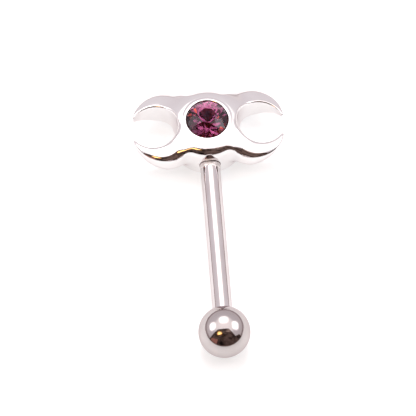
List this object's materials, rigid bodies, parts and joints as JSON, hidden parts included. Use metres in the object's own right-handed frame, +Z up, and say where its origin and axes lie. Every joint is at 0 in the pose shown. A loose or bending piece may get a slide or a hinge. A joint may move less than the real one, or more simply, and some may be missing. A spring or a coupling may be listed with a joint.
{
  "type": "eyebrow barbell",
  "caption": "Straight eyebrow barbell: steel bar with a screw ball, and a cast ornament of a round purple stone between outward-facing crescent moons.",
  "frame": {"origin": "centre of the part's bounding box in plan, on the surface that it lies on", "axes": "+Y along the bar towards the ornament, +Z up out of the ornament's face, +X to the right seen from the ball"},
  "size_m": [0.009, 0.018, 0.0032],
  "materials": {
    "polished_metal": "mirror polished silver ornament and steel bar",
    "ball_steel": "mirror polished steel",
    "purple_stone": "faceted and clear, dark purple"
  },
  "bodies": {
    "barbell": {"moon_bar": "polished_metal", "stone": "purple_stone"},
    "ball": {"screw_ball": "ball_steel"}
  },
  "joints": [
    {"name": "ball_off", "type": "slide", "parent": "barbell", "child": "ball", "axis": [0, -0.9993, 0.0377], "range_m": [0, 0.014]}
  ]
}
